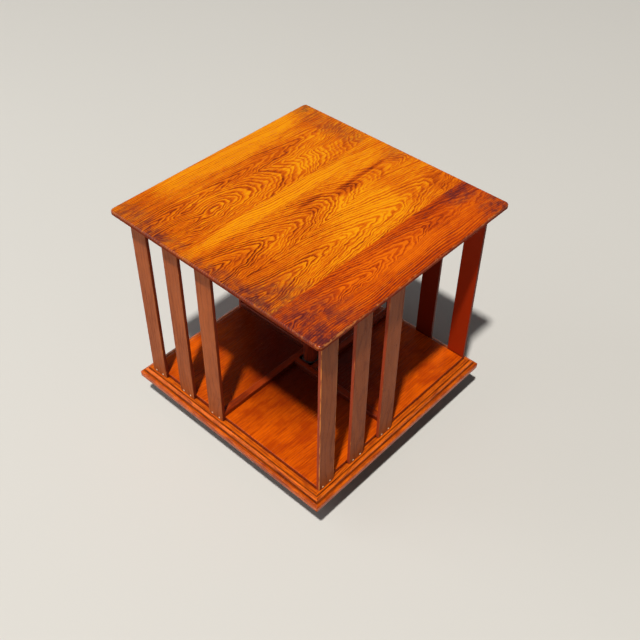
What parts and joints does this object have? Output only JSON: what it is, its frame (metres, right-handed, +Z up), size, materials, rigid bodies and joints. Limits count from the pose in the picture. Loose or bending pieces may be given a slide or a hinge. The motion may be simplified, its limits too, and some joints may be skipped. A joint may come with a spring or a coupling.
{
  "type": "revolving desktop bookcase",
  "caption": "Square table-top bookcase with slatted sides and a moulded base, turning about an upright post on a low cross-shaped foot.",
  "frame": {"origin": "centre of the square plan, on the turning axis, at the level that the feet stand on", "axes": "+Z up along the turning axis; the front is the side towards -Y, and the sides are parallel to X and Y"},
  "size_m": [0.358, 0.358, 0.35],
  "materials": {
    "oak_top": "stained oak, glossy varnish, worn bare along the edges",
    "oak_slat": "brown stained oak, semi-gloss varnish",
    "oak_floor": "orange stained oak, glossy varnish",
    "oak_moulding": "red-brown stained oak, glossy varnish",
    "oak_dark": "dark stained oak, dull",
    "post_wood": "dark red-brown turned hardwood, satin",
    "brass": "aged brass",
    "steel": "dull grey steel",
    "iron": "dark iron"
  },
  "bodies": {
    "stand": {"thrust_washer": "brass", "center_post": "post_wood", "pivot_pin": "steel", "post_flange": "iron", "post_flange_screws": "steel", "post_bolt": "steel", "cross_bar_lower": "oak_dark", "cross_bar_upper": "oak_dark", "foot_front_left": "oak_dark", "foot_front_right": "oak_dark", "foot_back_right": "oak_dark", "foot_back_left": "oak_dark"},
    "case": {"top_board_left": "oak_top", "top_board_middle": "oak_top", "top_board_right": "oak_top", "top_rail_front": "oak_dark", "top_rail_right": "oak_dark", "top_rail_back": "oak_dark", "top_rail_left": "oak_dark", "top_rail_screws": "steel", "pivot_bridge": "oak_dark", "pivot_plate": "steel", "pivot_plate_screws": "steel", "slat_front_outer": "oak_slat", "slat_front_middle": "oak_slat", "slat_front_inner": "oak_slat", "slat_right_outer": "oak_slat", "slat_right_middle": "oak_slat", "slat_right_inner": "oak_slat", "slat_back_outer": "oak_slat", "slat_back_middle": "oak_slat", "slat_back_inner": "oak_slat", "slat_left_outer": "oak_slat", "slat_left_middle": "oak_slat", "slat_left_inner": "oak_slat", "slat_foot_pins": "brass", "slat_head_pins": "brass", "floor_board_left": "oak_floor", "floor_board_middle": "oak_floor", "floor_board_right": "oak_floor", "floor_strip_front": "oak_moulding", "floor_strip_right": "oak_moulding", "floor_strip_back": "oak_moulding", "floor_strip_left": "oak_moulding", "post_collar": "steel", "hub_board": "oak_dark", "hub_board_screws": "steel", "bearing_plate": "steel", "bearing_plate_screws": "steel", "base_moulding_front": "oak_moulding", "base_moulding_right": "oak_moulding", "base_moulding_back": "oak_moulding", "base_moulding_left": "oak_moulding"}
  },
  "joints": [
    {"name": "case_turn", "type": "hinge", "parent": "stand", "child": "case", "pos_m": [0, 0, 0.045], "axis": [0, 0, 1], "continuous": true}
  ]
}
